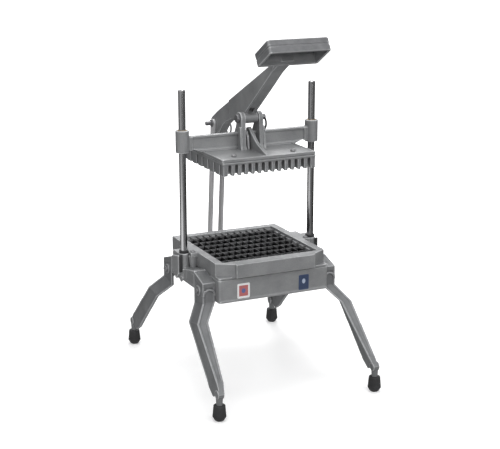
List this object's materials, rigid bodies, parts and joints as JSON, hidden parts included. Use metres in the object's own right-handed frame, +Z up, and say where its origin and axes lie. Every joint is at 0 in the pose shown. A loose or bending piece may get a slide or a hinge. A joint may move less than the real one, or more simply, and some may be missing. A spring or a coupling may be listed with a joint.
{
  "type": "vegetable dicer",
  "caption": "Hand-lever vegetable dicer: a finger block slides down guide rods and pushes food through a square blade grid, on splayed cast legs.",
  "frame": {"origin": "on the floor under the middle of the blade grid", "axes": "+X to the operator's right, -Y towards the operator, +Z up"},
  "size_m": [0.3248, 0.4352, 0.6298],
  "materials": {
    "cast_aluminium": "satin sand-cast grey",
    "finger_block": "satin cast, smooth finger tips",
    "polished_steel": "polished stainless",
    "blade_steel": "ground stainless",
    "bright_steel": "plain stainless",
    "dark_steel": "blackened",
    "rubber": "matt black",
    "bearing_bronze": "oiled, plain"
  },
  "bodies": {
    "base": {"base_frame": "cast_aluminium", "blade_frame": "cast_aluminium", "blade_lengthwise_01": "blade_steel", "blade_lengthwise_02": "blade_steel", "blade_lengthwise_03": "blade_steel", "blade_lengthwise_04": "blade_steel", "blade_lengthwise_05": "blade_steel", "blade_lengthwise_06": "blade_steel", "blade_lengthwise_07": "blade_steel", "blade_lengthwise_08": "blade_steel", "blade_lengthwise_09": "blade_steel", "blade_lengthwise_10": "blade_steel", "blade_lengthwise_11": "blade_steel", "blade_lengthwise_12": "blade_steel", "blade_lengthwise_13": "blade_steel", "blade_crosswise_01": "blade_steel", "blade_crosswise_02": "blade_steel", "blade_crosswise_03": "blade_steel", "blade_crosswise_04": "blade_steel", "blade_crosswise_05": "blade_steel", "blade_crosswise_06": "blade_steel", "blade_crosswise_07": "blade_steel", "guide_rod_left": "polished_steel", "guide_rod_right": "polished_steel", "rod_bumper_left": "rubber", "rod_bumper_right": "rubber", "rod_pad_left": "rubber", "rod_pad_right": "rubber", "frame_screw_left": "bright_steel", "frame_screw_right": "bright_steel", "leg_front_left": "cast_aluminium", "leg_front_right": "cast_aluminium", "leg_rear_left": "cast_aluminium", "leg_rear_right": "cast_aluminium", "leg_bolt_front_left": "bright_steel", "leg_bolt_front_right": "bright_steel", "leg_bolt_rear_left": "bright_steel", "leg_bolt_rear_right": "bright_steel", "foot_front_left": "rubber", "foot_front_right": "rubber", "foot_rear_left": "rubber", "foot_rear_right": "rubber", "link_pin": "bright_steel"},
    "pusher": {"pusher_head": "cast_aluminium", "pusher_block": "finger_block", "pusher_screw_front_left": "bright_steel", "pusher_screw_front_right": "bright_steel", "pusher_screw_rear_left": "bright_steel", "pusher_screw_rear_right": "bright_steel", "sleeve_bushing_left": "bearing_bronze", "sleeve_bushing_right": "bearing_bronze", "lever_pin": "dark_steel", "lever_pin_clip": "dark_steel"},
    "lever": {"lever": "cast_aluminium", "rear_pin": "dark_steel"},
    "links": {"link_left": "polished_steel", "link_right": "polished_steel", "rear_pin_end_left": "dark_steel", "rear_pin_end_right": "dark_steel", "rear_pin_clip": "dark_steel"}
  },
  "joints": [
    {"name": "head_slide", "type": "slide", "parent": "base", "child": "pusher", "axis": [0, 0, -1], "range_m": [0, 0.165]},
    {"name": "lever_pivot", "type": "hinge", "parent": "pusher", "child": "lever", "pos_m": [0, -0.006, 0.471], "axis": [1, 0, 0], "range_deg": [0, 71.5]},
    {"name": "link_pivot", "type": "hinge", "parent": "base", "child": "links", "pos_m": [0, 0.153, 0.185], "axis": [1, 0, 0], "range_deg": [0, 14.75]}
  ],
  "couplings": [
    {"joint": "lever_pivot", "follows": "head_slide", "rad_per_m": 7.5597},
    {"joint": "link_pivot", "follows": "head_slide", "rad_per_m": 1.5568}
  ]
}
